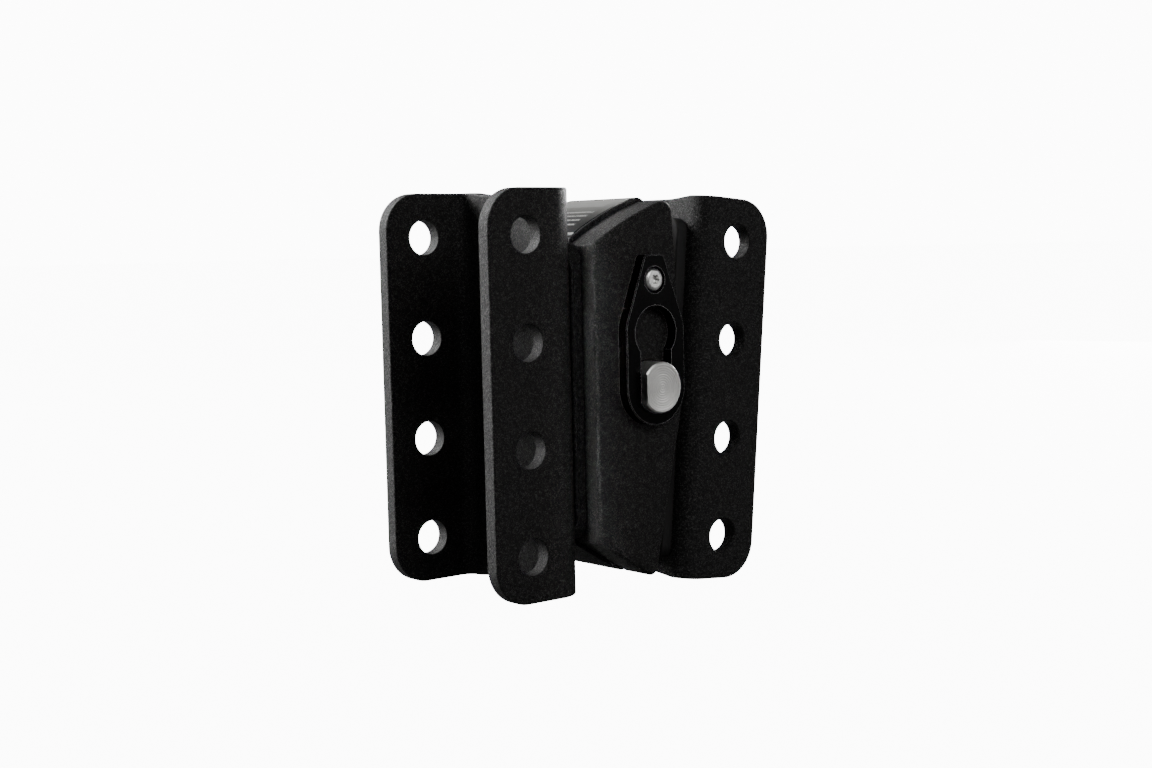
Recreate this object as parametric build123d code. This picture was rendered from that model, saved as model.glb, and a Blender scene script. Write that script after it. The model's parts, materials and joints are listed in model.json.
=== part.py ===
from build123d import *
import os
from math import cos, radians, sin

# Articulating, rubber-cushioned bolt-in coupler. Two steel channel brackets stand
# back to back on a cross pin. The left channel carries a pair of ears, the right one
# a hub that rocks between them on rubber blocks.
# Units are millimetres, +Z is up, X runs from the left bracket to the right one and Y
# along the pin. The left bracket and the pin are drawn about the pin's centre; the
# right bracket is drawn upright about the same centre and then tipped by REST_TILT.
# Last, everything moves so that the origin is at the bottom centre of the whole.

# ---- driving dimensions -------------------------------------------------------
REST_TILT = 5.3            # degrees, the right bracket's lean with no load
PLATE = 7.94               # bracket plate, 5/16 in
CHANNEL_GAP = 76.2         # between a bracket's flanges, 3 in
BRACKET_HEIGHT = 196.85    # 7 3/4 in
CORNER_R = 19.0            # free corners of the flanges
EDGE_R = 0.8               # eased plate edges
HOLE_R = 8.75              # clearance hole for a 5/8 in bolt
HOLE_PITCH = 50.8          # 2 in
HOLE_COUNT = 4
HOLE_CHAMFER = 0.7
RIM_R = 1.0                # rounded edges all round a bracket's plate
WEB_RELIEF = 1.5           # the web's ends lie this much below the flanges' ends
RELIEF_FULL_Y = 20.0       # half the width over which the relief is at its full depth
RELIEF_BLEND_R = 60.0      # the relief runs out smoothly into the bends

LEFT_WEB_X = -42.1         # face of the left web that the ears stand on
LEFT_FREE_X = -96.5
LEFT_HOLE_X = -74.3
LEFT_BEND_R = 14.0
RIGHT_WEB_X = 32.4         # face of the right web that the hub stands on
RIGHT_FREE_X = 79.2
RIGHT_HOLE_X = 57.0
RIGHT_BEND_R = 12.0

SPINE_THICK = 8.9
SPINE_HALF_WIDTH = 36.2
SPINE_LOW, SPINE_HIGH = -74.0, 72.0
SPINE_CORNER_R = 8.0

EAR_THICK = 12.7           # 1/2 in plate
EAR_RIM_R = 1.8            # rounded rim of an ear's outer face
LINER_THICK = 6.35         # 1/4 in plate
EAR_TOP_R = 170.0          # crown of the ears' top edge
EAR_TOP_RIGHT = (18.2, 93.5)
EAR_NOSE = (24.3, -7.0)
EAR_BOTTOM_RIGHT = (3.4, -97.5)
EAR_TOP_LEFT_Z = 71.0
EAR_BOTTOM_LEFT_Z = -75.2
EAR_TOP_CORNER_R = 6.0
EAR_NOSE_R = 6.0
EAR_TIP_R = 4.0
EAR_ROOT_CORNER_R = 2.2

PIN_R = 12.7               # 1 in pin
PIN_STANDS_OUT = 4.3       # past the keeper's face
PIN_BACK_OUT = 3.0         # past the back ear
PIN_CHAMFER = 0.8
PIN_FLAT_X = 10.0          # half the width across the keeper's groove
BORE_R = PIN_R + 0.1
BUSH_BORE_R = PIN_R + 0.05

KEEPER_THICK = 6.35
KEEPER_HALF_WIDTH = 19.0
KEEPER_SHOULDER_Z = 31.0
KEEPER_TOP_Z = 65.5
KEEPER_TOP_HALF = 6.0
KEEPER_SHOULDER_R = 14.0
KEEPER_TOP_R = 2.5
KEEPER_EDGE = 0.5
KEYHOLE_R = 13.5
KEYHOLE_Z = 27.0
SCREW_Z = 53.0
SCREW_HEAD_R = 5.75
SCREW_HEAD_HIGH = 3.4
SCREW_R = 3.0
SCREW_SHANK = 15.5         # from under the head, ends inside the ear
SCREW_SINK_R = 6.7         # recess round the screw's head
SCREW_SINK_DEEP = 3.0
SCREW_HEAD_ROUND = 2.0
SOCKET_R = 2.0             # six-lobed driving socket
SOCKET_LOBE_R = 0.75
SOCKET_DEEP = 2.2

HUB_HALF_WIDTH = 25.5
HUB_PLATE = 8.0
HUB_BOSS_R = 27.0
HUB_LEFT_X = -6.0
HUB_ROOT_Z = 70.0
HUB_TIP_Z = 60.0
TUBE_R = 19.05             # 1 1/2 in tube
BUSH_R = 15.875
BUSH_LENGTH = 22.0
WASHER_R = 19.0
WASHER_THICK = 1.1
STRIKE_THICK = 6.0
STRIKE_LOW_Z = 28.0

CUSHION_HALF_WIDTH = 22.5
CUSHION_LOW_Z, CUSHION_HIGH_Z = 29.0, 59.0
CUSHION_GAP = 0.3          # to the strike plates, which move
CUSHION_CORNER_R = 3.0

PAD_THICK = 6.0
PAD_HALF_WIDTH = 33.5
PAD_LOW_Z, PAD_HIGH_Z = -89.0, 86.8
PAD_CORNER_R = 7.0
PAD_EDGE_R = 1.2
PAD_WINDOW_HALF_Y = 27.5
PAD_WINDOW_HALF_Z = 72.0

COVER_HALF_WIDTH = 26.5
COVER_THICK = 5.0
COVER_LEG_Z = 62.0
COVER_LEFT_Z = 73.4
COVER_TOP_R = 170.0        # follows the ears' crown
COVER_CREST = (12.5, 95.0)
LOWER_COVER_LEFT_Z = 77.4  # the lower cover's heights are below the pin
LOWER_COVER_R = 600.0
LOWER_COVER_CREST = (-2.6, 97.6)
COVER_NOSE_R = 6.0
COVER_BACK_R = 5.5         # bend between the leg and the crown
COVER_EDGE = 0.5
LABEL_THICK = 0.4
LABEL_HALF_WIDTH = 24.5
LABEL_LEFT_X, LABEL_RIGHT_X = -30.0, 8.5

WELD_LEG = 4.0
EAR_WELD_LEG = 3.0
EAR_WELD_LENGTH = 112.0
WELD_STOPS_SHORT = 8.0     # bare length at each end of the hub's beads

# ---- values that follow -------------------------------------------------------
FLANGE_IN = CHANNEL_GAP / 2
FLANGE_OUT = FLANGE_IN + PLATE
SPINE_FACE_X = LEFT_WEB_X + SPINE_THICK
LINER_OUT = FLANGE_OUT - EAR_THICK
LINER_IN = LINER_OUT - LINER_THICK
KEEPER_FACE_Y = -FLANGE_OUT - KEEPER_THICK
PIN_FRONT_Y = KEEPER_FACE_Y - PIN_STANDS_OUT
STRIKE_X = HUB_LEFT_X - STRIKE_THICK
HALF_HEIGHT = BRACKET_HEIGHT / 2
BIG = 300.0                # larger than the object, for cutting


def along_y(outline, y_low, y_high):
    """Extrudes an outline drawn in X and Z between two values of Y."""
    return extrude(Plane.XZ.offset(-y_high) * outline, amount=y_high - y_low)


def along_z(outline, z_low, z_high):
    """Extrudes an outline drawn in X and Y between two heights."""
    return extrude(Pos(0, 0, z_low) * outline, amount=z_high - z_low)


def along_x(outline, x_low, x_high):
    """Extrudes an outline drawn in Y and Z between two values of X."""
    return extrude(Plane.YZ.offset(x_low) * outline, amount=x_high - x_low)


def block(x_low, x_high, y_low, y_high, z_low, z_high):
    """A plain box from its lowest to its highest corner."""
    middle = Pos((x_low + x_high) / 2, (y_low + y_high) / 2, (z_low + z_high) / 2)
    return middle * Box(x_high - x_low, y_high - y_low, z_high - z_low)


def rod_y(radius, y_low, y_high, x=0.0, z=0.0):
    """A round bar along Y."""
    return along_y(Pos(x, z) * Circle(radius), y_low, y_high)


def tipped(shape):
    """Leans a right-hand piece from upright to its place at rest."""
    return shape.rotate(Axis.Y, REST_TILT)


def single(shape):
    """The one solid of a result that may come wrapped in a compound."""
    return shape.solids().sort_by(SortBy.VOLUME)[-1]


# ---- the two channel brackets -------------------------------------------------
def channel_bracket(web_x, free_x, hole_x, bend_r):
    """A bent channel: web face at web_x, flanges running out to free_x."""
    outward = 1 if free_x > web_x else -1
    depth = abs(free_x - web_x)
    middle_x = (web_x + free_x) / 2
    outer = Pos(middle_x, 0) * Rectangle(depth, 2 * FLANGE_OUT)
    outer = fillet(outer.vertices().group_by(Axis.X)[0 if outward > 0 else -1], bend_r)
    hollow_middle = middle_x + outward * PLATE
    hollow = Pos(hollow_middle, 0) * Rectangle(depth, 2 * FLANGE_IN)
    hollow = fillet(hollow.vertices().group_by(Axis.X)[0 if outward > 0 else -1], bend_r - PLATE)
    body = along_z(outer - hollow, -HALF_HEIGHT, HALF_HEIGHT)

    side = Pos(middle_x, 0) * Rectangle(depth, BRACKET_HEIGHT)
    side = fillet(side.vertices().group_by(Axis.X)[-1 if outward > 0 else 0], CORNER_R)
    body = body & along_y(side, -FLANGE_OUT, FLANGE_OUT)

    relief_half = FLANGE_OUT - bend_r
    dip = make_face(
        Polyline(
            (-relief_half, BIG),
            (-relief_half, HALF_HEIGHT),
            (-RELIEF_FULL_Y, HALF_HEIGHT - WEB_RELIEF),
            (RELIEF_FULL_Y, HALF_HEIGHT - WEB_RELIEF),
            (relief_half, HALF_HEIGHT),
            (relief_half, BIG),
            (-relief_half, BIG),
        )
    )
    dip = fillet([v for v in dip.vertices() if abs(abs(v.X) - RELIEF_FULL_Y) < 0.01], RELIEF_BLEND_R)
    for cut in (dip, dip.mirror(Plane.XZ)):
        body -= along_x(cut, web_x - 2 * PLATE, web_x + 2 * PLATE)
    body = single(body)

    ends = [
        face
        for face in body.faces()
        if abs(face.center().X - free_x) < 0.1 or abs(face.center().Z) > HALF_HEIGHT - CORNER_R
    ]
    edges = [edge for face in ends for edge in face.edges()]
    rim = [edge for edge in edges if sum(edge.is_same(other) for other in edges) == 1]
    body = single(fillet(rim, RIM_R))

    for row in range(HOLE_COUNT):
        hole_z = (row - (HOLE_COUNT - 1) / 2) * HOLE_PITCH
        body -= rod_y(HOLE_R, -BIG, BIG, hole_x, hole_z)

    body = single(body)
    rims = [
        edge
        for edge in body.edges().filter_by(GeomType.CIRCLE)
        if abs(edge.radius - HOLE_R) < 0.01 and abs(abs(edge.center().Y) - FLANGE_OUT) < 0.01
    ]
    return single(body.chamfer(HOLE_CHAMFER, None, rims))


# ---- left assembly ------------------------------------------------------------
def spine_plate():
    """The thick plate on the left web that the ears are welded to."""
    height = SPINE_HIGH - SPINE_LOW
    outline = Pos(0, (SPINE_HIGH + SPINE_LOW) / 2) * RectangleRounded(
        2 * SPINE_HALF_WIDTH, height, SPINE_CORNER_R
    )
    plate = along_x(outline, LEFT_WEB_X, SPINE_FACE_X)
    return chamfer(plate.faces().sort_by(Axis.X)[-1].edges(), EDGE_R)


def ear_outline():
    """The ears' outline: crowned top, V-shaped right edge that stops the rocking."""
    top_left = (SPINE_FACE_X, EAR_TOP_LEFT_Z)
    bottom_left = (SPINE_FACE_X, EAR_BOTTOM_LEFT_Z)
    crown = RadiusArc(top_left, EAR_TOP_RIGHT, EAR_TOP_R)
    rest = Polyline(EAR_TOP_RIGHT, EAR_NOSE, EAR_BOTTOM_RIGHT, bottom_left, top_left)
    face = make_face(crown + rest)
    corners = face.vertices()
    face = fillet(corners.sort_by(Axis.Y)[-1], EAR_TOP_CORNER_R)
    face = fillet(face.vertices().sort_by(Axis.Y)[0], EAR_TIP_R)
    face = fillet(face.vertices().sort_by(Axis.X)[-1], EAR_NOSE_R)
    return fillet(face.vertices().group_by(Axis.X)[0], EAR_ROOT_CORNER_R)


def ear_plate(front):
    """One outer ear plate; the front one is tapped for the keeper's screw."""
    plate = along_y(ear_outline(), LINER_OUT, FLANGE_OUT)
    plate -= rod_y(BORE_R, -BIG, BIG)
    outer = plate.faces().sort_by(Axis.Y)[-1]
    rim = [edge for edge in outer.edges() if abs(edge.center().X) + abs(edge.center().Z) > 1]
    plate = fillet(rim, EAR_RIM_R)
    if front:
        plate = plate.mirror(Plane.XZ)
        plate -= rod_y(SCREW_R + 0.05, -BIG, 0, 0, SCREW_Z)
    return single(plate)


def liner_plate(front):
    """The thinner plate inside each ear, cut to the same outline."""
    plate = along_y(ear_outline(), LINER_IN, LINER_OUT)
    plate -= rod_y(BORE_R, -BIG, BIG)
    return single(plate.mirror(Plane.XZ) if front else plate)


def pivot_pin():
    """The cross pin: grooved to a width across flats where the keeper holds it."""
    pin = rod_y(PIN_R, PIN_FRONT_Y, FLANGE_OUT + PIN_BACK_OUT)
    ends = pin.faces().filter_by(GeomType.PLANE)
    pin = chamfer([edge for face in ends for edge in face.edges()], PIN_CHAMFER)
    groove_front = KEEPER_FACE_Y - 0.1
    for side in (-1, 1):
        x_low, x_high = sorted((side * PIN_FLAT_X, side * 2 * PIN_R))
        pin -= block(x_low, x_high, groove_front, -FLANGE_OUT, -PIN_R, PIN_R)
    pin -= block(-2 * PIN_R, -PIN_FLAT_X, -BIG, groove_front + 1, -PIN_R, PIN_R)
    return single(pin)


def keeper_plate():
    """The keyhole plate that drops into the pin's groove."""
    lower = Circle(KEEPER_HALF_WIDTH)
    upper = make_face(
        Polyline(
            (-KEEPER_HALF_WIDTH, 0),
            (-KEEPER_HALF_WIDTH, KEEPER_SHOULDER_Z),
            (-KEEPER_TOP_HALF, KEEPER_TOP_Z),
            (KEEPER_TOP_HALF, KEEPER_TOP_Z),
            (KEEPER_HALF_WIDTH, KEEPER_SHOULDER_Z),
            (KEEPER_HALF_WIDTH, 0),
            (-KEEPER_HALF_WIDTH, 0),
        )
    )
    upper = fillet(upper.vertices().group_by(Axis.Y)[-1], KEEPER_TOP_R)
    shoulders = [v for v in upper.vertices() if abs(v.Y - KEEPER_SHOULDER_Z) < 0.01]
    upper = fillet(shoulders, KEEPER_SHOULDER_R)
    plate = along_y(lower + upper, KEEPER_FACE_Y, -FLANGE_OUT)
    plate = chamfer(plate.faces().sort_by(Axis.Y)[0].edges(), KEEPER_EDGE)

    slot_half = PIN_FLAT_X + 0.15
    groove = Circle(PIN_R + 0.15) & Rectangle(2 * slot_half, BIG)
    slot = Pos(0, KEYHOLE_Z / 2) * Rectangle(2 * slot_half, KEYHOLE_Z)
    keyhole = groove + slot + Pos(0, KEYHOLE_Z) * Circle(KEYHOLE_R)
    plate -= along_y(keyhole, -BIG, BIG)
    plate -= rod_y(SCREW_R + 0.3, -BIG, BIG, 0, SCREW_Z)
    plate -= rod_y(SCREW_SINK_R, KEEPER_FACE_Y, KEEPER_FACE_Y + SCREW_SINK_DEEP, 0, SCREW_Z)
    return single(plate)


def keeper_screw():
    """Button-head screw with a six-lobed socket."""
    seat_y = KEEPER_FACE_Y + SCREW_SINK_DEEP
    head_y = seat_y - SCREW_HEAD_HIGH
    head = rod_y(SCREW_HEAD_R, head_y, seat_y, 0, SCREW_Z)
    head = fillet(head.faces().sort_by(Axis.Y)[0].edges(), SCREW_HEAD_ROUND)
    socket = Circle(SOCKET_R)
    for lobe in range(6):
        angle = radians(60 * lobe)
        socket += Pos(SOCKET_R * cos(angle), SOCKET_R * sin(angle)) * Circle(SOCKET_LOBE_R)
    screw = head + rod_y(SCREW_R, seat_y, seat_y + SCREW_SHANK, 0, SCREW_Z)
    screw -= along_y(Pos(0, SCREW_Z) * socket, head_y - 1, head_y + SOCKET_DEEP)
    return single(screw)


def cover_outline(left_z, crest, radius):
    """Outer outline of a bent cover over a cushion, in X and Z, before it is hollowed."""
    left = (SPINE_FACE_X, left_z)
    low_left = (SPINE_FACE_X, COVER_LEG_Z - 2 * COVER_THICK)
    low_right = (crest[0] + COVER_NOSE_R, COVER_LEG_Z - 2 * COVER_THICK)
    right = (crest[0] + COVER_NOSE_R, crest[1] + 1)
    face = make_face(RadiusArc(left, right, radius) + Polyline(right, low_right, low_left, left))
    face = fillet(face.vertices().sort_by(Axis.Y)[-1], COVER_NOSE_R)
    left_top = face.vertices().group_by(Axis.X)[0].sort_by(Axis.Y)[-1]
    return fillet(left_top, COVER_BACK_R)


def bent_cover(left_z, crest, radius):
    """Bent cover: a leg welded to the spine, a crowned top and a turned-down nose."""
    outer = cover_outline(left_z, crest, radius)
    inner = offset(outer, -COVER_THICK)
    shell = outer - inner
    shell -= Pos(0, COVER_LEG_Z - BIG / 2) * Rectangle(BIG, BIG)
    nose_low = crest[1] - 2 * COVER_NOSE_R
    shell -= Pos(BIG / 2 + crest[0], nose_low - BIG / 2) * Rectangle(BIG, BIG)
    cover = single(along_y(shell, -COVER_HALF_WIDTH, COVER_HALF_WIDTH))
    by_side = cover.edges().group_by(Axis.Y)
    return chamfer(by_side[0] + by_side[-1], COVER_EDGE)


def cover_label():
    """Thin adhesive plate on the cover's crown."""
    outer = cover_outline(COVER_LEFT_Z, COVER_CREST, COVER_TOP_R)
    skin = offset(outer, LABEL_THICK) - outer
    middle = (LABEL_LEFT_X + LABEL_RIGHT_X) / 2
    window = Pos(middle, COVER_CREST[1]) * Rectangle(LABEL_RIGHT_X - LABEL_LEFT_X, BIG / 4)
    return single(along_y(skin & window, -LABEL_HALF_WIDTH, LABEL_HALF_WIDTH))


def cushion(sign):
    """A rubber block between the spine and a strike plate, above or below the pin."""
    z_low, z_high = sorted((sign * CUSHION_LOW_Z, sign * CUSHION_HIGH_Z))
    rubber = block(SPINE_FACE_X, 20, -CUSHION_HALF_WIDTH, CUSHION_HALF_WIDTH, z_low, z_high)
    beyond = tipped(block(STRIKE_X - CUSHION_GAP, BIG, -BIG, BIG, -BIG, BIG))
    rubber = single(rubber - beyond)
    return fillet(rubber.edges().filter_by(Axis.X), CUSHION_CORNER_R)


# ---- right assembly (drawn upright) -------------------------------------------
def hub_side(sign):
    """One side plate of the rocking hub, with the boss round the pin."""
    lever = make_face(
        Polyline(
            (RIGHT_WEB_X, HUB_ROOT_Z),
            (HUB_LEFT_X, HUB_TIP_Z),
            (HUB_LEFT_X, -HUB_TIP_Z),
            (RIGHT_WEB_X, -HUB_ROOT_Z),
            (RIGHT_WEB_X, HUB_ROOT_Z),
        )
    )
    outline = lever + Circle(HUB_BOSS_R) - Circle(TUBE_R)
    y_low, y_high = sorted((sign * (HUB_HALF_WIDTH - HUB_PLATE), sign * HUB_HALF_WIDTH))
    return single(along_y(outline, y_low, y_high))


def hub_tube():
    """The cross tube that holds the bushings."""
    tube = rod_y(TUBE_R, -HUB_HALF_WIDTH, HUB_HALF_WIDTH)
    return single(tube - rod_y(BUSH_R, -BIG, BIG))


def bushing(sign):
    """Plain bearing pressed into one end of the tube."""
    y_low, y_high = sorted((sign * (HUB_HALF_WIDTH - BUSH_LENGTH), sign * HUB_HALF_WIDTH))
    return single(rod_y(BUSH_R, y_low, y_high) - rod_y(BUSH_BORE_R, -BIG, BIG))


def thrust_washer(sign):
    """Thin washer between the hub and a liner."""
    y_low, y_high = sorted((sign * HUB_HALF_WIDTH, sign * (HUB_HALF_WIDTH + WASHER_THICK)))
    return single(rod_y(WASHER_R, y_low, y_high) - rod_y(BUSH_BORE_R + 0.25, -BIG, BIG))


def strike_plate(sign):
    """Plate on the hub's left edge that presses on a cushion."""
    z_low, z_high = sorted((sign * STRIKE_LOW_Z, sign * HUB_TIP_Z))
    plate = block(STRIKE_X, HUB_LEFT_X, -HUB_HALF_WIDTH, HUB_HALF_WIDTH, z_low, z_high)
    return chamfer(plate.faces().sort_by(Axis.X)[0].edges(), EDGE_R)


def bump_pad():
    """Rubber stop on the right web, with a window for the hub."""
    height = PAD_HIGH_Z - PAD_LOW_Z
    outline = Pos(0, (PAD_HIGH_Z + PAD_LOW_Z) / 2) * RectangleRounded(
        2 * PAD_HALF_WIDTH, height, PAD_CORNER_R
    )
    outline -= Rectangle(2 * PAD_WINDOW_HALF_Y, 2 * PAD_WINDOW_HALF_Z)
    pad = single(along_x(outline, RIGHT_WEB_X - PAD_THICK, RIGHT_WEB_X))
    return fillet(pad.faces().sort_by(Axis.X)[0].edges(), PAD_EDGE_R)


# ---- weld beads ---------------------------------------------------------------
def bead(leg, length):
    """A triangular fillet weld along +Z, its right angle at the origin, open to +X +Y."""
    outline = make_face(Polyline((0, 0), (leg, 0), (0, leg), (0, 0)))
    return extrude(Pos(0, 0, -length / 2) * outline, amount=length)


def spine_welds():
    """Four beads round the spine plate, on the left web."""
    upright = SPINE_HIGH - SPINE_LOW - 2 * SPINE_CORNER_R
    level = 2 * (SPINE_HALF_WIDTH - SPINE_CORNER_R)
    middle_z = (SPINE_HIGH + SPINE_LOW) / 2
    side = bead(WELD_LEG, upright)
    beads = [Pos(LEFT_WEB_X, SPINE_HALF_WIDTH, middle_z) * side]
    beads.append(beads[0].mirror(Plane.XZ))
    across = bead(WELD_LEG, level).rotate(Axis.X, 90)
    beads.append(Pos(LEFT_WEB_X, 0, SPINE_HIGH) * across)
    under = across.mirror(Plane.XY)
    beads.append(Pos(LEFT_WEB_X, 0, SPINE_LOW) * under)
    return Compound([single(b) for b in beads])


def ear_welds():
    """Beads in the inner corners between the spine and the two liners."""
    corner = bead(EAR_WELD_LEG, EAR_WELD_LENGTH).mirror(Plane.XZ)
    back = Pos(SPINE_FACE_X, LINER_IN, (EAR_TOP_LEFT_Z + EAR_BOTTOM_LEFT_Z) / 2) * corner
    return Compound([single(back), single(back.mirror(Plane.XZ))])


def hub_welds():
    """Beads inside the hub, where its side plates meet the right web."""
    inner = HUB_HALF_WIDTH - HUB_PLATE
    corner = bead(WELD_LEG, 2 * (HUB_ROOT_Z - WELD_STOPS_SHORT)).mirror(Plane.XZ).mirror(Plane.YZ)
    back = Pos(RIGHT_WEB_X, inner, 0) * corner
    return Compound([single(back), single(back.mirror(Plane.XZ))])


# ---- assembly -----------------------------------------------------------------
LEFT_PIECES = {
    "left_bracket": channel_bracket(LEFT_WEB_X, LEFT_FREE_X, LEFT_HOLE_X, LEFT_BEND_R),
    "spine_plate": spine_plate(),
    "spine_welds": spine_welds(),
    "ear_front": ear_plate(True),
    "ear_back": ear_plate(False),
    "liner_front": liner_plate(True),
    "liner_back": liner_plate(False),
    "ear_welds": ear_welds(),
    "pivot_pin": pivot_pin(),
    "keeper_plate": keeper_plate(),
    "keeper_screw": keeper_screw(),
    "cushion_cover": bent_cover(COVER_LEFT_Z, COVER_CREST, COVER_TOP_R),
    "cushion_cover_lower": bent_cover(
        LOWER_COVER_LEFT_Z, LOWER_COVER_CREST, LOWER_COVER_R
    ).mirror(Plane.XY),
    "cover_label": cover_label(),
    "cushion_upper": cushion(1),
    "cushion_lower": cushion(-1),
}
RIGHT_PIECES = {
    "right_bracket": channel_bracket(RIGHT_WEB_X, RIGHT_FREE_X, RIGHT_HOLE_X, RIGHT_BEND_R),
    "bump_pad": bump_pad(),
    "hub_side_front": hub_side(-1),
    "hub_side_back": hub_side(1),
    "hub_tube": hub_tube(),
    "bushing_front": bushing(-1),
    "bushing_back": bushing(1),
    "thrust_washer_front": thrust_washer(-1),
    "thrust_washer_back": thrust_washer(1),
    "strike_plate_upper": strike_plate(1),
    "strike_plate_lower": strike_plate(-1),
    "hub_welds": hub_welds(),
}

pieces = dict(LEFT_PIECES)
pieces.update({name: tipped(shape) for name, shape in RIGHT_PIECES.items()})

brackets = [pieces["left_bracket"].bounding_box(), pieces["right_bracket"].bounding_box()]
x_low = min(box.min.X for box in brackets)
x_high = max(box.max.X for box in brackets)
z_low = min(box.min.Z for box in brackets)
everything = Compound(list(pieces.values())).bounding_box()
y_middle = (everything.min.Y + everything.max.Y) / 2
to_origin = Pos(-(x_low + x_high) / 2, -y_middle, -z_low)

os.makedirs("parts", exist_ok=True)
for name, shape in pieces.items():
    export_step(to_origin * shape, f"parts/{name}.step")
print("pivot axis at x, y, z =", -(x_low + x_high) / 2, -y_middle, -z_low)
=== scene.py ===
"""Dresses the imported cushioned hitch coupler: finishes, rubber blocks, weld beads, studio."""

import json
import logging
import math
from dataclasses import dataclass, field
from enum import Enum
from typing import Any, Sequence, Union

import bmesh
import bpy
from mathutils import Matrix, Vector

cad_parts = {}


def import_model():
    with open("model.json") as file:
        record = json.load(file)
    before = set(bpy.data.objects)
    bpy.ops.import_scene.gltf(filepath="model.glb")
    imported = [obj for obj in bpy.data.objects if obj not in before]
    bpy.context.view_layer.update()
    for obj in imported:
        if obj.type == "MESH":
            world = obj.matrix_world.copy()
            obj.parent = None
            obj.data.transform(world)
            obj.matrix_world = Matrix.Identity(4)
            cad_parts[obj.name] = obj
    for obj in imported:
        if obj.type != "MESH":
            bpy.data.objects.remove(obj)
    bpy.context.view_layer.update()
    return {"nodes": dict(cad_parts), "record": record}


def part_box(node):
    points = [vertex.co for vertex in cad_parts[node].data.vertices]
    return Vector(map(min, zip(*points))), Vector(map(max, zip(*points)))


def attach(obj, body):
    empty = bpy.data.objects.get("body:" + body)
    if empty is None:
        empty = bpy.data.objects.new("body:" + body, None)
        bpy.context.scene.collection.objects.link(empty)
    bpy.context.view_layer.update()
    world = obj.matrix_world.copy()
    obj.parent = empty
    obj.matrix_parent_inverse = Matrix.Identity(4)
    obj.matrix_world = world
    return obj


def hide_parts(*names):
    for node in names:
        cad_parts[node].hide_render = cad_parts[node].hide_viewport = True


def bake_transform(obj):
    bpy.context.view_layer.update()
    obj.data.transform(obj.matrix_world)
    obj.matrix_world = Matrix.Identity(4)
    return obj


LOG = logging.getLogger("coupler")
Point = tuple[float, float, float]
Colour = tuple[float, float, float]
Value = Union["Wire", float]

MIX_FACTOR, MIX_FIRST, MIX_SECOND, MIX_RESULT = 0, 6, 7, 2  # colour sockets of a Mix node
FULL_TURN = 2 * math.pi
REST_TILT = math.radians(5.3)  # lean of the right bracket at rest


class Body(Enum):
    """The two moving halves of the coupler."""

    EARS = "ear_frame"
    ROCKER = "rocking_frame"


class Slot(Enum):
    """The record's material slots."""

    POWDER = "powder_coat"
    GLOSS = "gloss_black"
    TURNED = "turned_steel"
    PLATED = "plated_screw"
    BRONZE = "bronze"
    RUBBER = "rubber"
    LABEL = "label"


class Socket(Enum):
    """The shader sockets that may vary over a surface."""

    COLOUR = "Base Color"
    ROUGHNESS = "Roughness"
    METALLIC = "Metallic"
    NORMAL = "Normal"


# ---- shader maths ---------------------------------------------------------------
class Wire:
    """One output socket of a shader graph, with arithmetic written as Python."""

    def __init__(self, graph: "Graph", socket: bpy.types.NodeSocket) -> None:
        """Remembers the socket and the graph it belongs to."""
        self.graph = graph
        self.socket = socket

    def _math(self, operation: str, first: Value, second: Value = 0.0) -> "Wire":
        """Adds one Math node.

        Args:
            operation: Blender's name of the operation.
            first: The first operand.
            second: The second operand.

        Returns:
            The node's result.
        """
        return self.graph.node("ShaderNodeMath", {"operation": operation}, {0: first, 1: second})

    def __add__(self, other: Value) -> "Wire":
        """Sum."""
        return self._math("ADD", self, other)

    __radd__ = __add__

    def __sub__(self, other: Value) -> "Wire":
        """Difference."""
        return self._math("SUBTRACT", self, other)

    def __rsub__(self, other: Value) -> "Wire":
        """Difference with the operands the other way round."""
        return self._math("SUBTRACT", other, self)

    def __mul__(self, other: Value) -> "Wire":
        """Product."""
        return self._math("MULTIPLY", self, other)

    __rmul__ = __mul__

    def __truediv__(self, other: Value) -> "Wire":
        """Quotient."""
        return self._math("DIVIDE", self, other)

    def __pow__(self, other: Value) -> "Wire":
        """Power."""
        return self._math("POWER", self, other)

    def __gt__(self, other: Value) -> "Wire":
        """1 where this is greater, otherwise 0."""
        return self._math("GREATER_THAN", self, other)

    def __lt__(self, other: Value) -> "Wire":
        """1 where this is less, otherwise 0."""
        return self._math("LESS_THAN", self, other)

    def sine(self) -> "Wire":
        """Sine of an angle in radians."""
        return self._math("SINE", self)

    def magnitude(self) -> "Wire":
        """Absolute value."""
        return self._math("ABSOLUTE", self)


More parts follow.
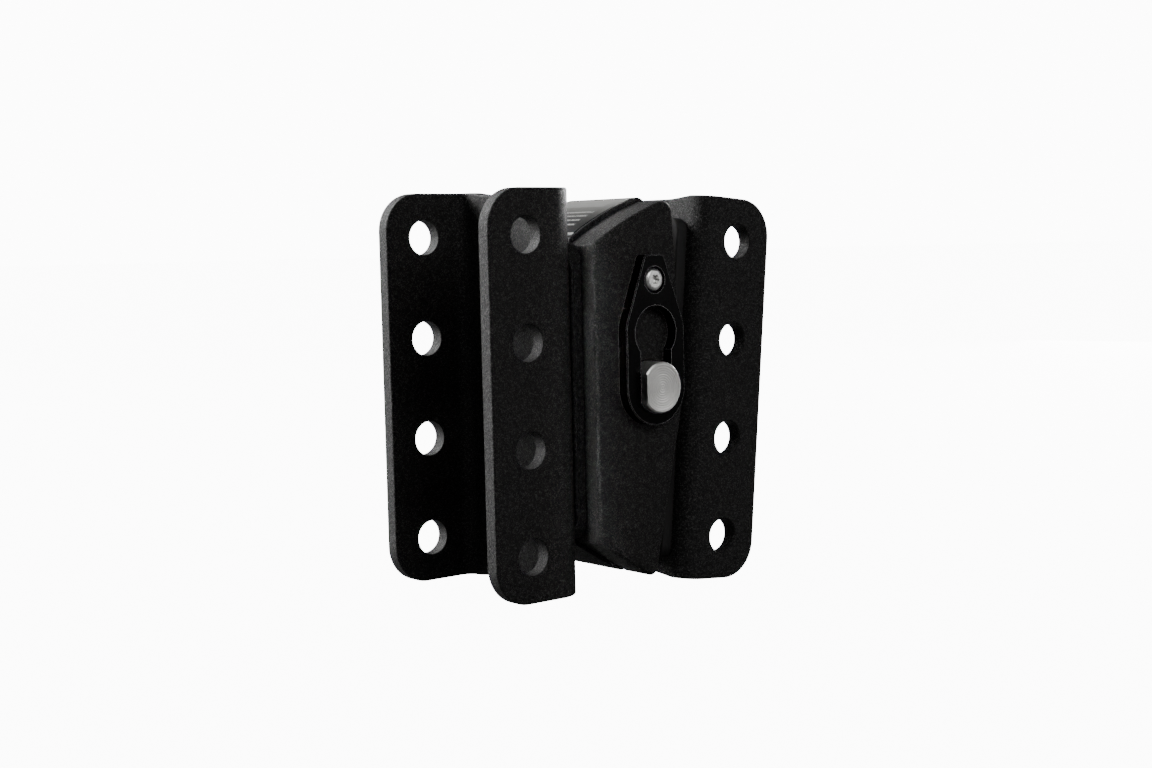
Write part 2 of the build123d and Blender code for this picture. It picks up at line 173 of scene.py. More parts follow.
class Graph:
    """A material's node tree around one Principled shader."""

    def __init__(self, name: str) -> None:
        """Starts an empty material.

        Args:
            name: The material's name.
        """
        self.material = bpy.data.materials.new(name)
        self.material.use_nodes = True
        self.tree = self.material.node_tree
        self.tree.nodes.clear()
        output = self.tree.nodes.new("ShaderNodeOutputMaterial")
        self.shader = self.tree.nodes.new("ShaderNodeBsdfPrincipled")
        self.tree.links.new(self.shader.outputs[0], output.inputs["Surface"])

    def node(
        self,
        kind: str,
        settings: dict[str, Any] | None = None,
        inputs: dict[str | int, Any] | None = None,
        output: str | int = 0,
    ) -> Wire:
        """Adds any node.

        Args:
            kind: The node's Blender type.
            settings: Its properties, set before its sockets.
            inputs: Values or wires for its input sockets.
            output: Which output to return.

        Returns:
            The chosen output.
        """
        made = self.tree.nodes.new(kind)
        for name, value in (settings or {}).items():
            setattr(made, name, value)
        for key, value in (inputs or {}).items():
            self._feed(made.inputs[key], value)
        return Wire(self, made.outputs[output])

    def _feed(self, socket: bpy.types.NodeSocket, value: Any) -> None:
        """Links a wire to a socket, or sets the socket's own value.

        Args:
            socket: The input socket.
            value: A wire, a colour or a number.
        """
        if isinstance(value, Wire):
            self.tree.links.new(value.socket, socket)
        elif socket.type == "RGBA":
            socket.default_value = (*value, 1.0)
        else:
            socket.default_value = value

    def constants(self, **values: Any) -> None:
        """Sets sockets of the shader that are the same all over.

        Args:
            values: Each socket's value by its name, with _ for a space.
        """
        for name, value in values.items():
            self._feed(self.shader.inputs[name.replace("_", " ")], value)

    def vary(self, socket: Socket, wire: Wire) -> None:
        """Links what changes over the surface to a socket of the shader.

        Args:
            socket: The shader's socket.
            wire: The value that varies.
        """
        self._feed(self.shader.inputs[socket.value], wire)

    def place(self) -> Wire:
        """The point on the object, in metres, in the part's own frame."""
        return self.node("ShaderNodeTexCoord", output="Object")

    def axes(self) -> tuple[Wire, Wire, Wire]:
        """The point's X, Y and Z."""
        split = self.tree.nodes.new("ShaderNodeSeparateXYZ")
        self.tree.links.new(self.place().socket, split.inputs[0])
        return tuple(Wire(self, socket) for socket in split.outputs)

    def noise(self, per_metre: float, detail: float = 2.0, roughness: float = 0.5) -> Wire:
        """Soft noise.

        Args:
            per_metre: Its frequency.
            detail: Its octaves.
            roughness: How strong the finer octaves are.

        Returns:
            A value around 0.5.
        """
        inputs = {
            "Vector": self.place(),
            "Scale": per_metre,
            "Detail": detail,
            "Roughness": roughness,
        }
        return self.node("ShaderNodeTexNoise", None, inputs)

    def cells(self, per_metre: float, output: str = "Distance") -> Wire:
        """Voronoi cells.

        Args:
            per_metre: How many there are along a metre.
            output: "Distance" to each one's centre, or its random "Color".

        Returns:
            The chosen value.
        """
        inputs = {"Vector": self.place(), "Scale": per_metre}
        return self.node("ShaderNodeTexVoronoi", None, inputs, output)

    def remap(self, value: Wire, low: float, high: float, to_low: float, to_high: float) -> Wire:
        """Maps a range of values onto another one, clamped.

        Args:
            value: What is mapped.
            low: The value that becomes to_low.
            high: The value that becomes to_high.
            to_low: The first end of the result.
            to_high: The second end of the result.

        Returns:
            The mapped value.
        """
        inputs = {
            "Value": value,
            "From Min": low,
            "From Max": high,
            "To Min": to_low,
            "To Max": to_high,
        }
        return self.node("ShaderNodeMapRange", {"clamp": True}, inputs)

    def edges(self, radius: float) -> Wire:
        """1 along the sharp edges of the shape, 0 elsewhere.

        Args:
            radius: How far the edges reach, in metres.

        Returns:
            The mask.
        """
        rounded = self.node("ShaderNodeBevel", {"samples": 4}, {"Radius": radius})
        flat = self.node("ShaderNodeNewGeometry", output="Normal")
        dot = {"operation": "DOT_PRODUCT"}
        likeness = self.node("ShaderNodeVectorMath", dot, {0: rounded, 1: flat}, "Value")
        return self.remap(1 - likeness, 0.02, 0.22, 0.0, 1.0)

    def blend(self, factor: Value, first: Any, second: Any) -> Wire:
        """Mixes two colours.

        Args:
            factor: 0 for the first colour, 1 for the second.
            first: A colour or a wire.
            second: A colour or a wire.

        Returns:
            The mixed colour.
        """
        inputs = {MIX_FACTOR: factor, MIX_FIRST: first, MIX_SECOND: second}
        return self.node("ShaderNodeMix", {"data_type": "RGBA"}, inputs, MIX_RESULT)

    def bump(
        self,
        height: Wire,
        metres: float,
        strength: float = 1.0,
        under: Wire | None = None,
    ) -> Wire:
        """A bumped normal.

        Args:
            height: The relief, 0 to 1.
            metres: Its depth.
            strength: How much of it is used.
            under: A normal that it is laid over.

        Returns:
            The normal.
        """
        inputs: dict[str | int, Any] = {"Height": height, "Distance": metres, "Strength": strength}
        if under is not None:
            inputs["Normal"] = under
        return self.node("ShaderNodeBump", None, inputs)


# ---- finishes ---------------------------------------------------------------------
@dataclass(frozen=True)
class PowderCoat:
    """Fine-textured satin black powder coat with a sparse sparkle and a painted highlight along
    its edges.
    """

    base: Colour = (0.0020, 0.0020, 0.0020)
    worn: Colour = (0.0045, 0.0045, 0.0044)
    speckle: Colour = (0.024, 0.024, 0.023)
    fleck: Colour = (0.046, 0.046, 0.045)
    # Colour of the painted highlight along the plate edges, with its reach and share.
    edge_glint: Colour = (0.040, 0.040, 0.040)
    glint_reach: float = 0.0009
    glint_share: float = 0.5
    roughness: float = 0.46
    sheen: float = 0.26
    cloud_per_m: float = 38.0
    grain_per_m: float = 900.0
    grain_depth: float = 0.0007
    speckle_per_m: float = 1500.0
    fleck_per_m: float = 2300.0
    fleck_above: float = 0.83

    def material(self) -> bpy.types.Material:
        """Builds the finish.

        Returns:
            The material.
        """
        graph = Graph("powder_coat_black")
        grain = graph.noise(self.grain_per_m, 3.0, 0.62)
        pebble = graph.cells(self.fleck_per_m)
        cell_colour = graph.cells(self.fleck_per_m, "Color")
        bright = graph.node("ShaderNodeSeparateColor", None, {0: cell_colour}) > self.fleck_above
        tint = graph.remap(graph.noise(self.cloud_per_m, 3.0), 0.35, 0.68, 0.0, 0.55)
        speckled = graph.remap(graph.noise(self.speckle_per_m, 2.0), 0.46, 0.68, 0.0, 0.75)
        coat = graph.blend(speckled, graph.blend(tint, self.base, self.worn), self.speckle)
        flecked = graph.blend(bright, coat, self.fleck)
        # Painted highlight: the edges are lightened towards a pale grey, standing in for light
        # catching them.
        rim = graph.edges(self.glint_reach) * self.glint_share
        graph.vary(Socket.COLOUR, graph.blend(rim, flecked, self.edge_glint))
        smooth, coarse = self.roughness - 0.09, self.roughness + 0.12
        gloss = graph.remap(grain, 0.3, 0.7, smooth, coarse) - bright * 0.12
        graph.vary(Socket.ROUGHNESS, gloss)
        relief = grain * 0.7 + pebble * 0.45
        graph.vary(Socket.NORMAL, graph.bump(relief, self.grain_depth, 0.9))
        graph.constants(Specular_IOR_Level=self.sheen)
        return graph.material


@dataclass(frozen=True)
class GlossBlack:
    """Smooth gloss black with a faint orange peel and painted highlights along its edges."""

    base: Colour = (0.0012, 0.0012, 0.0013)
    dust: Colour = (0.05, 0.05, 0.05)
    # Colour of the painted edge highlight.
    edge_glint: Colour = (0.50, 0.50, 0.50)
    glint_reach: float = 0.0005
    roughness: float = 0.24
    sheen: float = 0.05
    peel_per_m: float = 420.0
    peel_depth: float = 0.00012

    def material(self) -> bpy.types.Material:
        """Builds the finish.

        Returns:
            The material.
        """
        graph = Graph("gloss_black_enamel")
        peel = graph.noise(self.peel_per_m, 2.0)
        speck = graph.remap(graph.noise(2600.0, 2.0), 0.70, 0.78, 0.0, 0.35)
        specked = graph.blend(speck, self.base, self.dust)
        # Painted highlight: thin glints along the edges are painted into the colour.
        graph.vary(Socket.COLOUR, graph.blend(graph.edges(self.glint_reach), specked, self.edge_glint))
        smudge = graph.noise(60.0, 4.0)
        smooth, smeared = self.roughness - 0.05, self.roughness + 0.10
        graph.vary(Socket.ROUGHNESS, graph.remap(smudge, 0.3, 0.7, smooth, smeared))
        graph.vary(Socket.NORMAL, graph.bump(peel, self.peel_depth, 0.35))
        graph.constants(Specular_IOR_Level=self.sheen)
        return graph.material


@dataclass(frozen=True)
class TurnedSteel:
    """Lathe-turned stainless steel: rings about the pin's axis on its ends, with a painted bow-tie
    highlight across the end face.
    """

    axis_point: Point
    base: Colour = (0.90, 0.89, 0.86)
    clean: Colour = (0.99, 0.98, 0.95)
    # sheen is the colour of the painted bow-tie highlight.
    sheen: Colour = (0.97, 0.96, 0.93)
    rim: Colour = (0.97, 0.96, 0.94)
    pin_radius: float = 0.0127
    rim_from: float = 0.0112
    ring_pitch: float = 0.0012
    side_pitch: float = 0.0007
    broad_pitch: float = 0.0041
    ring_depth: float = 0.00014
    dish_depth: float = 0.0009
    centre_guard: float = 1e-7  # keeps the division at the very centre finite

    def material(self) -> bpy.types.Material:
        """Builds the finish.

        Returns:
            The material.
        """
        graph = Graph("turned_steel_pin")
        along_x, along_y, along_z = graph.axes()
        off_x = along_x - self.axis_point[0]
        off_z = along_z - self.axis_point[2]
        radius = (off_x * off_x + off_z * off_z) ** 0.5
        wobble = graph.noise(300.0, 2.0) * 0.9
        rings = (radius * (FULL_TURN / self.ring_pitch) + wobble).sine() * 0.5 + 0.5
        side_rings = (along_y * (FULL_TURN / self.side_pitch)).sine() * 0.5 + 0.5
        drift = graph.noise(90.0) * 2.5
        broad = (radius * (FULL_TURN / self.broad_pitch) + drift).sine() * 0.5 + 0.5
        stain = graph.noise(160.0, 4.0, 0.6)
        metal = graph.blend(graph.remap(stain, 0.35, 0.7, 0.0, 0.8), self.base, self.clean)
        # Painted highlight: a bow-tie sheen, lighter in two opposite quarters of the end face, in
        # place of anisotropic reflection.
        turn = off_x * off_z / (radius * radius + self.centre_guard)
        with_painted_bowtie = graph.blend(graph.remap(turn, -0.5, 0.5, 0.0, 0.85), metal, self.sheen)
        rim = graph.remap(radius, self.rim_from, self.pin_radius, 0.0, 1.0)
        graph.vary(Socket.COLOUR, graph.blend(rim * 0.7, with_painted_bowtie, self.rim))
        graph.vary(Socket.ROUGHNESS, graph.remap(broad + stain * 0.6, 0.2, 1.4, 0.30, 0.46))
        relief = rings * 0.7 + side_rings * 0.3
        dish = graph.bump(radius * radius * (1 / self.pin_radius**2), self.dish_depth, 1.0)
        graph.vary(Socket.NORMAL, graph.bump(relief, self.ring_depth, 0.8, dish))
        graph.constants(Metallic=1.0)
        return graph.material


@dataclass(frozen=True)
class PlatedScrew:
    """Bright plated screw with fine scuffs."""

    base: Colour = (0.97, 0.97, 0.95)
    mottle: Colour = (0.50, 0.50, 0.49)
    mottle_per_m: float = 700.0
    mottle_depth: float = 0.00016

    def material(self) -> bpy.types.Material:
        """Builds the finish.

        Returns:
            The material.
        """
        graph = Graph("plated_screw_bright")
        scuff = graph.noise(2200.0, 4.0, 0.7)
        mottle = graph.noise(self.mottle_per_m, 3.0, 0.6)
        dulled = graph.remap(mottle, 0.42, 0.66, 0.0, 0.6)
        graph.vary(Socket.COLOUR, graph.blend(dulled, self.base, self.mottle))
        graph.vary(Socket.ROUGHNESS, graph.remap(scuff, 0.3, 0.7, 0.26, 0.46))
        graph.vary(Socket.NORMAL, graph.bump(mottle, self.mottle_depth, 0.5))
        graph.constants(Metallic=1.0)
        return graph.material


@dataclass(frozen=True)
class Bronze:
    """Machined bronze of the bushings and washers, with a greasy film."""

    base: Colour = (0.45, 0.27, 0.10)
    grease: Colour = (0.17, 0.10, 0.045)
    film_per_m: float = 240.0
    mark_depth: float = 0.00005

    def material(self) -> bpy.types.Material:
        """Builds the finish.

        Returns:
            The material.
        """
        graph = Graph("bushing_bronze")
        film = graph.noise(self.film_per_m, 4.0, 0.6)
        marks = graph.noise(1800.0, 2.0)
        greased = graph.remap(film, 0.4, 0.68, 0.0, 0.7)
        graph.vary(Socket.COLOUR, graph.blend(greased, self.base, self.grease))
        graph.vary(Socket.ROUGHNESS, graph.remap(film, 0.3, 0.7, 0.26, 0.5))
        graph.vary(Socket.NORMAL, graph.bump(marks, self.mark_depth, 0.5))
        graph.constants(Metallic=1.0)
        return graph.material


@dataclass(frozen=True)
class MouldedRubber:
    """Matt moulded rubber with a fine tooth and a dusty bloom."""

    base: Colour = (0.0075, 0.0075, 0.0075)
    bloom: Colour = (0.022, 0.021, 0.020)
    tooth_per_m: float = 2400.0
    tooth_depth: float = 0.00010
    bloom_per_m: float = 55.0

    def material(self) -> bpy.types.Material:
        """Builds the finish.

        Returns:
            The material.
        """
        graph = Graph("moulded_rubber")
        tooth = graph.noise(self.tooth_per_m, 3.0, 0.6)
        bloom = graph.noise(self.bloom_per_m, 4.0, 0.55)
        dusty = graph.remap(bloom, 0.45, 0.75, 0.0, 0.6)
        graph.vary(Socket.COLOUR, graph.blend(dusty, self.base, self.bloom))
        graph.vary(Socket.ROUGHNESS, graph.remap(bloom, 0.3, 0.7, 0.62, 0.84))
        graph.vary(Socket.NORMAL, graph.bump(tooth, self.tooth_depth, 0.6))
        return graph.material


@dataclass(frozen=True)
class LabelPrint:
    """Metallic label plate with painted shade, dark at its low end and paling towards its top,
    generic printed bars, and a near-white tip that is a white print band with a painted highlight.
    """

    low: Point
    high: Point
    dark: Colour = (0.007, 0.007, 0.008)
    pale: Colour = (0.58, 0.58, 0.56)
    ink: Colour = (0.60, 0.60, 0.59)
    white_tip_and_glint: Colour = (0.95, 0.95, 0.94)
    bar_places: tuple[float, ...] = (0.235, 0.345, 0.455, 0.560)  # along the slope, 0 to 1
    bar_half: float = 0.019
    bar_end: float = 0.80
    margin: float = 0.155  # bare width at the front, of the whole width
    stagger: float = 0.012
    gap_below: float = 0.40  # noise under this leaves a gap between two words
    band_place: float = 0.80
    band_half: float = 0.07
    band_half_width: float = 0.34
    tip_length: float = 0.05

    def material(self) -> bpy.types.Material:
        """Builds the finish.

        Returns:
            The material.
        """
        graph = Graph("label_plate")
        along_x, along_y, _ = graph.axes()
        slope = (along_x - self.low[0]) / (self.high[0] - self.low[0])
        across = (along_y - self.low[1]) / (self.high[1] - self.low[1])
        # Painted shade: the plate is darkened towards its low end and paled towards its top,
        # standing in for how light falls on the curved plate.
        shade = graph.remap(slope, 0.10, 0.95, 0.0, 1.0)
        ground = graph.blend(shade * shade, self.dark, self.pale)
        words = graph.noise(900.0, 1.0)
        bars: Value = 0.0
        for number, place in enumerate(self.bar_places):
            in_bar = (slope - place).magnitude() < self.bar_half
            start = self.margin + self.stagger * (number * 2 % 3)
            bars = in_bar * (across > start) + bars
        printed = bars * (across < self.bar_end) * (words > self.gap_below)
        in_band = (slope - self.band_place).magnitude() < self.band_half
        band = in_band * ((across - 0.5).magnitude() < self.band_half_width)
        inked = graph.blend(printed + band * 0.45, ground, self.ink)
        # The lowest strip is near white: a white printed end band together with a painted
        # highlight where the plate bends.
        graph.vary(Socket.COLOUR, graph.blend(slope < self.tip_length, inked, self.white_tip_and_glint))
        brush = graph.noise(500.0, 3.0)
        graph.vary(Socket.ROUGHNESS, graph.remap(brush, 0.3, 0.7, 0.30, 0.42))
        graph.vary(Socket.NORMAL, graph.bump(brush, 0.00004, 0.4))
        graph.constants(Metallic=0.35)
        return graph.material


# ---- mesh helpers ---------------------------------------------------------------
def lattice_mesh(name: str, rows: Sequence[Sequence[Vector]], closed: bool) -> bpy.types.Object:
    """A smooth skin over rows of points, with both ends closed.

    Args:
        name: The object's name.
        rows: Rings or strips of equal length.
        closed: Whether each row is a ring.

    Returns:
        The new object.
    """
    count = len(rows[0])
    points = [tuple(point) for row in rows for point in row]
    wraps = count if closed else count - 1
    faces = []
    for row in range(len(rows) - 1):
        for column in range(wraps):
            after = (column + 1) % count
            low, high = row * count, (row + 1) * count
            faces.append((low + column, low + after, high + after, high + column))
    if closed:
        faces.append(tuple(reversed(range(count))))
        faces.append(tuple(range((len(rows) - 1) * count, len(rows) * count)))
    mesh = bpy.data.meshes.new(name)
    mesh.from_pydata(points, [], faces)
    mesh.validate()
    mesh.update()
    for polygon in mesh.polygons:
        polygon.use_smooth = len(polygon.vertices) == 4
    made = bpy.data.objects.new(name, mesh)
    bpy.context.scene.collection.objects.link(made)
    return made


def face_outward(piece: bpy.types.Object) -> None:
    """Turns a closed mesh's faces outward.

    Args:
        piece: The object whose mesh is changed.
    """
    made = bmesh.new()
    made.from_mesh(piece.data)
    bmesh.ops.recalc_face_normals(made, faces=made.faces)
    made.to_mesh(piece.data)
    made.free()


def tipped(pivot: Vector, offset: Vector) -> Vector:
    """A point given upright about the pivot, leaned to the right bracket's rest.

    Args:
        pivot: The rocking axis.
        offset: The point from it, with the bracket upright.

    Returns:
        The point at rest.
    """
    return pivot + Matrix.Rotation(REST_TILT, 3, "Y") @ offset


@dataclass
class WeldBead:
    """One rippled fillet weld along a straight corner."""

    start: Vector
    end: Vector
    leg_a: Vector  # unit directions along the two plates, away from the corner
    leg_b: Vector
    leg: float = 0.0040
    seed: int = 1
    ripple: float = 0.0019
    crown: float = 0.10
    scallop: float = 0.075
    root_sunk: float = 0.0002  # the root lies this far inside the corner
    arc_steps: int = 10
    rows_per_ripple: int = 7

    def _ring(self, along: float, length: float) -> list[Vector]:
        """The bead's section at one place.

        Args:
            along: The distance from the start.
            length: The bead's whole length.

        Returns:
            The ring's points, the corner first.
        """
        run = (self.end - self.start).normalized()
        near_end = max(min(along, length - along), 0.0)
        swell = min(1.0, 0.25 + 0.75 * math.sqrt(near_end / (1.3 * self.leg)))
        slow = 0.05 * math.sin(along * 410 + self.seed)
        quick = 0.03 * math.sin(along * 1130 + 2 * self.seed)
        drift = 1 + slow + quick
        centre = self.start + run * along
        ring = [centre - (self.leg_a + self.leg_b) * self.root_sunk]
        for step in range(self.arc_steps + 1):
            share = step / self.arc_steps
            arch = math.sin(math.pi * share)
            lag = (share - 0.5) ** 2 * 2.6
            phase = (along / self.ripple + lag + 0.13 * self.seed) % 1.0
            scallop = self.scallop * (1 - abs(2 * phase - 1) ** 1.6)
            bulge = 1 + self.crown * arch + scallop * arch**0.6
            size = self.leg * swell * drift * bulge
            ring.append(centre + self.leg_a * (size * (1 - share)) + self.leg_b * (size * share))
        return ring

    def build(self, name: str) -> bpy.types.Object:
        """Builds the bead.

        Args:
            name: The object's name.

        Returns:
            The new object.
        """
        length = (self.end - self.start).length
        count = max(12, int(length / self.ripple * self.rows_per_ripple))
        rows = [self._ring(length * index / count, length) for index in range(count + 1)]
        bead = lattice_mesh(name, rows, closed=True)
        face_outward(bead)
        return bead


@dataclass
class Welds:
    """All the weld beads, in place of the plain strips."""

    pivot: Vector
    powder: bpy.types.Material
    leg: float = 0.0040
    spine_corner: float = 0.008
    ear_leg: float = 0.0030
    ear_half: float = 0.056
    ear_rise: float = 0.004  # how far the ears' beads sit above the liners' middle
    hub_web_x: float = 0.0324
    hub_inner: float = 0.0175
    hub_half: float = 0.062

    def _finish(self, bead: bpy.types.Object, body: Body) -> bpy.types.Object:
        """Paints a bead and lets it ride.

        Args:
            bead: The bead.
            body: The body that carries it.

        Returns:
            The same bead.
        """
        bead.data.materials.append(self.powder)
        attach(bead, body.value)
        LOG.info("weld %s on %s", bead.name, body.value)
        return bead

    def spine(self) -> None:
        """Beads round the spine plate, on the left web."""
        low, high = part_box("spine_plate")
        face_x, corner = low[0], self.spine_corner
        out = Vector((1, 0, 0))
        first = None
        for number, (y_edge, side) in enumerate(((low[1], -1), (high[1], 1))):
            start = Vector((face_x, y_edge, low[2] + corner))
            end = Vector((face_x, y_edge, high[2] - corner))
            bead = WeldBead(start, end, out, Vector((0, side, 0)), self.leg, seed=number + 1)
            bead = self._finish(bead.build(f"spine_bead_side_{number + 1}"), Body.EARS)
            first = first or bead
        for number, (z_edge, side) in enumerate(((low[2], -1), (high[2], 1))):
            start = Vector((face_x, low[1] + corner, z_edge))
            end = Vector((face_x, high[1] - corner, z_edge))
            bead = WeldBead(start, end, out, Vector((0, 0, side)), self.leg, seed=number + 4)
            self._finish(bead.build(f"spine_bead_end_{number + 1}"), Body.EARS)
        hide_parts("spine_welds")

    def ears(self) -> None:
        """Beads in the inner corners between the spine and the liners."""
        _, spine_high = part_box("spine_plate")
        first = None
        for number, (node, side) in enumerate((("liner_front", 1), ("liner_back", -1))):
            low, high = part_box(node)
            inner = high[1] if side > 0 else low[1]
            middle = (low[2] + high[2]) / 2 + self.ear_rise
            start = Vector((spine_high[0], inner, middle - self.ear_half))
            end = Vector((spine_high[0], inner, middle + self.ear_half))
            legs = (Vector((1, 0, 0)), Vector((0, side, 0)))
            bead = WeldBead(start, end, legs[0], legs[1], self.ear_leg, seed=number + 7)
            bead = self._finish(bead.build(f"ear_bead_{number + 1}"), Body.EARS)
            first = first or bead
        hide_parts("ear_welds")

    def hub(self) -> None:
        """Beads inside the hub, on the right web."""
        web_x, inner, reach = self.hub_web_x, self.hub_inner, self.hub_half
        lean = Matrix.Rotation(REST_TILT, 3, "Y")
        first = None
        for number, side in enumerate((-1, 1)):
            start = tipped(self.pivot, Vector((web_x, side * inner, -reach)))
            end = tipped(self.pivot, Vector((web_x, side * inner, reach)))
            legs = (lean @ Vector((-1, 0, 0)), Vector((0, -side, 0)))
            bead = WeldBead(start, end, legs[0], legs[1], self.leg, seed=number + 11)
            bead = self._finish(bead.build(f"hub_bead_{number + 1}"), Body.ROCKER)
            first = first or bead
        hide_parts("hub_welds")


@dataclass
class Cushions:
    """The two rubber blocks that the rocking hub presses on."""

    pivot: Vector
    rubber: bpy.types.Material
    spine_x: float = -0.0332
    strike_x: float = -0.0121
    half_width: float = 0.0222
    low: float = 0.0295
    high: float = 0.0585
    corner: float = 0.0055
    bulge: float = 0.0014
    rib: float = 0.0006
    end_ease: float = 0.0016  # rounding of the block's two ends
    row_count: int = 44
    corner_steps: int = 6
    side_steps: int = 6

    def _end_x(self, height: float) -> float:
        """Where the leaning strike plate is.

        Args:
            height: How far above the pivot.

        Returns:
            Its X from the pivot.
        """
        upright = (height + self.strike_x * math.sin(REST_TILT)) / math.cos(REST_TILT)
        return self.strike_x * math.cos(REST_TILT) + upright * math.sin(REST_TILT)

    def _outline(self, grow: float) -> list[tuple[float, float]]:
        """A rounded rectangle in Y and height, grown outward all round.

        Args:
            grow: How far out of the plain block it lies.

        Returns:
            Its points in order.
        """
        half_high = (self.high - self.low) / 2 + grow
        half_wide = self.half_width + grow
        radius = self.corner + grow * 0.5
        signs = ((1, 1), (-1, 1), (-1, -1), (1, -1))

        def on_corner(corner: int, degrees: float) -> tuple[float, float]:
            """A point of one corner's arc.

            Args:
                corner: The corner's number, in order round the block.
                degrees: The point's angle about the arc's centre.

            Returns:
                Its Y and height.
            """
            sign_y, sign_z = signs[corner % 4]
            angle = math.radians(degrees)
            y = sign_y * (half_wide - radius) + radius * math.cos(angle)
            z = sign_z * (half_high - radius) + radius * math.sin(angle)
            return y, z

        points = []
        for turn in range(4):
            for step in range(self.corner_steps + 1):
                points.append(on_corner(turn, 90 * turn + 90 * step / self.corner_steps))
            last_y, last_z = points[-1]
            to_y, to_z = on_corner(turn + 1, 90 * (turn + 1))
            for step in range(1, self.side_steps):
                share = step / self.side_steps
                y = last_y + (to_y - last_y) * share
                points.append((y, last_z + (to_z - last_z) * share))
        return points

    def _profile(self, share: float) -> float:
        """How far the block bulges.

        Args:
            share: The place between its two ends, 0 to 1.

        Returns:
            The distance outward.
        """
        ends = self.end_ease * max(0.0, 1 - min(share, 1 - share) / 0.07) ** 2
        mould_line = self.rib * max(0.0, 1 - abs(share - 0.5) / 0.03)
        return self.bulge * math.sin(math.pi * share) - ends + mould_line

    def build(self, sign: int, name: str, node: str) -> bpy.types.Object:
        """Builds one block.

        Args:
            sign: 1 for the block above the pin, -1 for the one below.
            name: The object's name.
            node: The CAD node it stands for.

        Returns:
            The new object.
        """
        middle = sign * (self.low + self.high) / 2
        rows = []
        for index in range(self.row_count + 1):
            share = index / self.row_count
            ring = []
            for y, z in self._outline(self._profile(share)):
                height = middle + z
                end_x = self._end_x(height)
                x = self.spine_x + (end_x - self.spine_x) * share
                ring.append(self.pivot + Vector((x, y, height)))
            rows.append(ring)
        block = lattice_mesh(name, rows, closed=True)
        face_outward(block)
        block.data.materials.append(self.rubber)
        start = self.pivot + Vector((self.spine_x, 0, middle))
        end = self.pivot + Vector((self._end_x(middle), 0, middle))
        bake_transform(block)
        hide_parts(node)
        LOG.info("cushion %s", name)
        return block


@dataclass
class Dressing:
    """Gives each kept CAD node its finish."""

    record: dict[str, Any]
    finishes: dict[str, bpy.types.Material]

    def dress(self, nodes: dict[str, bpy.types.Object]) -> None:
        """Puts each node's finish in its material slots.

        Args:
            nodes: The CAD objects by name.
        """
        slots = {part["node"]: part["material_slot"] for part in self.record["subparts"]}
        for name, piece in nodes.items():
            finish = self.finishes[slots[name]]
            if not piece.material_slots:
                piece.data.materials.append(finish)
            for place in piece.material_slots:
                place.link = "OBJECT"
                place.material = finish
            LOG.info("node %s in %s", name, slots[name])


# ---- studio -----------------------------------------------------------------------
@dataclass
class SoftLight:
    """One rectangular studio light."""

    name: str
    place: Point
    size: tuple[float, float]
    watts: float
    beam: float = 180.0  # spread, in degrees
    goal: Point | None = None  # its own aim, in place of the common one

    def build(self, target: Vector) -> None:
        """Places the light and aims it.

        Args:
            target: The common point that lights are aimed at.
        """
        data = bpy.data.lights.new(self.name, "AREA")
        data.shape = "RECTANGLE"
        data.size, data.size_y = self.size
        data.energy = self.watts
        lamp = bpy.data.objects.new(self.name, data)
        lamp.location = self.place
        data.spread = math.radians(self.beam)
        ahead = Vector(self.goal or target) - Vector(self.place)
        lamp.rotation_euler = ahead.to_track_quat("-Z", "Y").to_euler()
        bpy.context.scene.collection.objects.link(lamp)


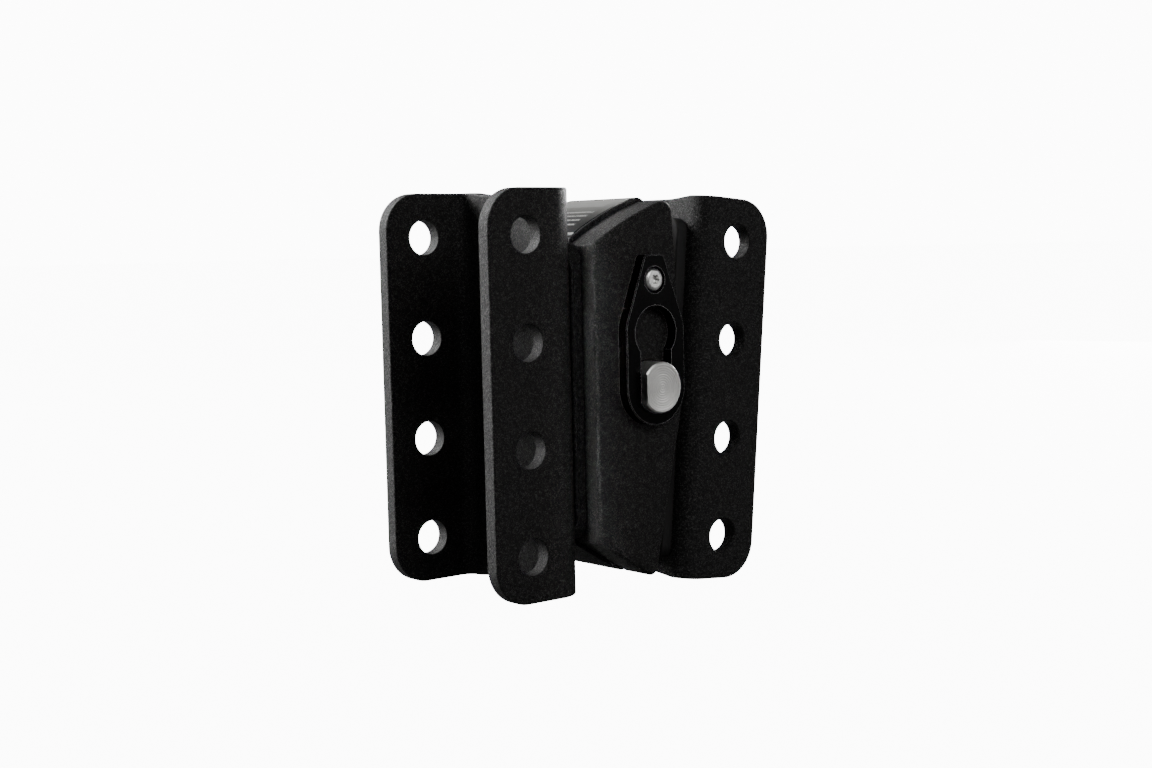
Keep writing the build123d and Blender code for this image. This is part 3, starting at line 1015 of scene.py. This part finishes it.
@dataclass
class Studio:
    """Pale floor, soft lights and the camera."""

    target: Vector
    camera_place: Point = (-0.56733, -0.68424, 0.17558)
    yaw: float = math.radians(39.328)
    pitch: float = math.radians(4.650)
    roll: float = math.radians(-1.318)
    lens: float = 54.24
    sensor: float = 36.0
    floor_radius: float = 30.0
    floor_corners: int = 96
    floor_drop: float = 0.0003
    floor_grey: float = 0.06
    floor_glow: float = 11.5
    floor_low_glow: float = 0.02
    surround: float = 0.010
    backdrop: float = 12.0
    lights: list[SoftLight] = field(
        default_factory=lambda: [
            SoftLight("left_back", (-1.00, 1.65, 0.45), (0.7, 1.5), 58.0),
            SoftLight("front_panel", (1.25, -1.55, 0.35), (1.0, 1.1), 4.0),
            SoftLight("front_top", (-0.05, -0.80, 0.62), (0.5, 0.3), 2.6),
            SoftLight("upper_back", (-0.45, 1.40, 1.15), (1.4, 0.7), 40.0),
            SoftLight("right_side", (1.9, 0.55, 0.35), (1.0, 1.4), 85.0),
            SoftLight("front_left", (-1.5, -1.1, 0.9), (0.9, 0.9), 2.0),
            SoftLight(
                "snoot",
                (-0.942, -0.447, 0.12),
                (0.012, 0.20),
                0.017,
                1.2,
                (-0.028, -0.040, 0.10),
            ),
        ]
    )

    def _floor(self) -> None:
        """A wide pale disc under the object."""
        mesh = bpy.data.meshes.new("floor")
        ring = []
        for corner in range(self.floor_corners):
            angle = FULL_TURN * corner / self.floor_corners
            x, y = self.floor_radius * math.cos(angle), self.floor_radius * math.sin(angle)
            ring.append((x, y, 0.0))
        mesh.from_pydata(ring, [], [tuple(range(self.floor_corners))])
        floor = bpy.data.objects.new("floor", mesh)
        floor.location.z = -self.floor_drop
        bpy.context.scene.collection.objects.link(floor)
        graph = Graph("pale_floor")
        white = (1.0, 1.0, 1.0)
        grey = (self.floor_grey,) * 3
        graph.constants(Base_Color=grey, Roughness=0.9, Emission_Color=white)
        seen = graph.node("ShaderNodeLightPath", output="Is Camera Ray")
        glow = seen * self.floor_glow + self.floor_low_glow
        graph.tree.links.new(glow.socket, graph.shader.inputs["Emission Strength"])
        floor.data.materials.append(graph.material)

    def _surround(self) -> None:
        """An even pale surround."""
        world = bpy.data.worlds.new("surround")
        bpy.context.scene.world = world
        world.use_nodes = True
        nodes, links = world.node_tree.nodes, world.node_tree.links
        back = nodes["Background"]
        back.inputs["Color"].default_value = (1.0, 1.0, 1.0, 1.0)
        lit = nodes.new("ShaderNodeLightPath")
        power = nodes.new("ShaderNodeMapRange")
        power.inputs["To Min"].default_value = self.surround
        power.inputs["To Max"].default_value = self.backdrop
        links.new(lit.outputs["Is Camera Ray"], power.inputs["Value"])
        links.new(power.outputs["Result"], back.inputs["Strength"])

    def _camera(self) -> None:
        """The camera at the calibrated place and angles."""
        data = bpy.data.cameras.new("camera")
        data.lens = self.lens
        data.sensor_width = self.sensor
        data.clip_end = 100.0
        ahead = Vector(
            (
                math.sin(self.yaw) * math.cos(self.pitch),
                math.cos(self.yaw) * math.cos(self.pitch),
                -math.sin(self.pitch),
            )
        )
        right = Vector((math.cos(self.yaw), -math.sin(self.yaw), 0.0))
        up = right.cross(ahead)
        rolled_right = right * math.cos(self.roll) + up * math.sin(self.roll)
        rolled_up = up * math.cos(self.roll) - right * math.sin(self.roll)
        turn = Matrix((rolled_right, rolled_up, -ahead)).transposed()
        camera = bpy.data.objects.new("camera", data)
        camera.matrix_world = Matrix.Translation(self.camera_place) @ turn.to_4x4()
        bpy.context.scene.collection.objects.link(camera)
        bpy.context.scene.camera = camera

    def build(self) -> None:
        """Builds the whole studio."""
        self._floor()
        self._surround()
        self._camera()
        for light in self.lights:
            light.build(self.target)
        LOG.info("studio with %d lights", len(self.lights))


def main() -> None:
    """Loads the frame, dresses it, and sets up the studio."""
    logging.basicConfig(level=logging.INFO, format="%(name)s: %(message)s")
    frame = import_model()
    record = frame["record"]
    pivot = Vector(record["behaviour"]["joints"][0]["pos_m"])
    label_low, label_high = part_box("cover_label")
    finishes = {
        Slot.POWDER.value: PowderCoat().material(),
        Slot.GLOSS.value: GlossBlack().material(),
        Slot.TURNED.value: TurnedSteel(tuple(pivot)).material(),
        Slot.PLATED.value: PlatedScrew().material(),
        Slot.BRONZE.value: Bronze().material(),
        Slot.RUBBER.value: MouldedRubber().material(),
        Slot.LABEL.value: LabelPrint(tuple(label_low), tuple(label_high)).material(),
    }
    Dressing(record, finishes).dress(frame["nodes"])
    welds = Welds(pivot, finishes[Slot.POWDER.value])
    welds.spine()
    welds.ears()
    welds.hub()
    cushions = Cushions(pivot, finishes[Slot.RUBBER.value])
    cushions.build(1, "cushion_block_upper", "cushion_upper")
    cushions.build(-1, "cushion_block_lower", "cushion_lower")
    Studio(target=Vector((0.0, 0.0, 0.10))).build()


if __name__ == "__main__":
    main()
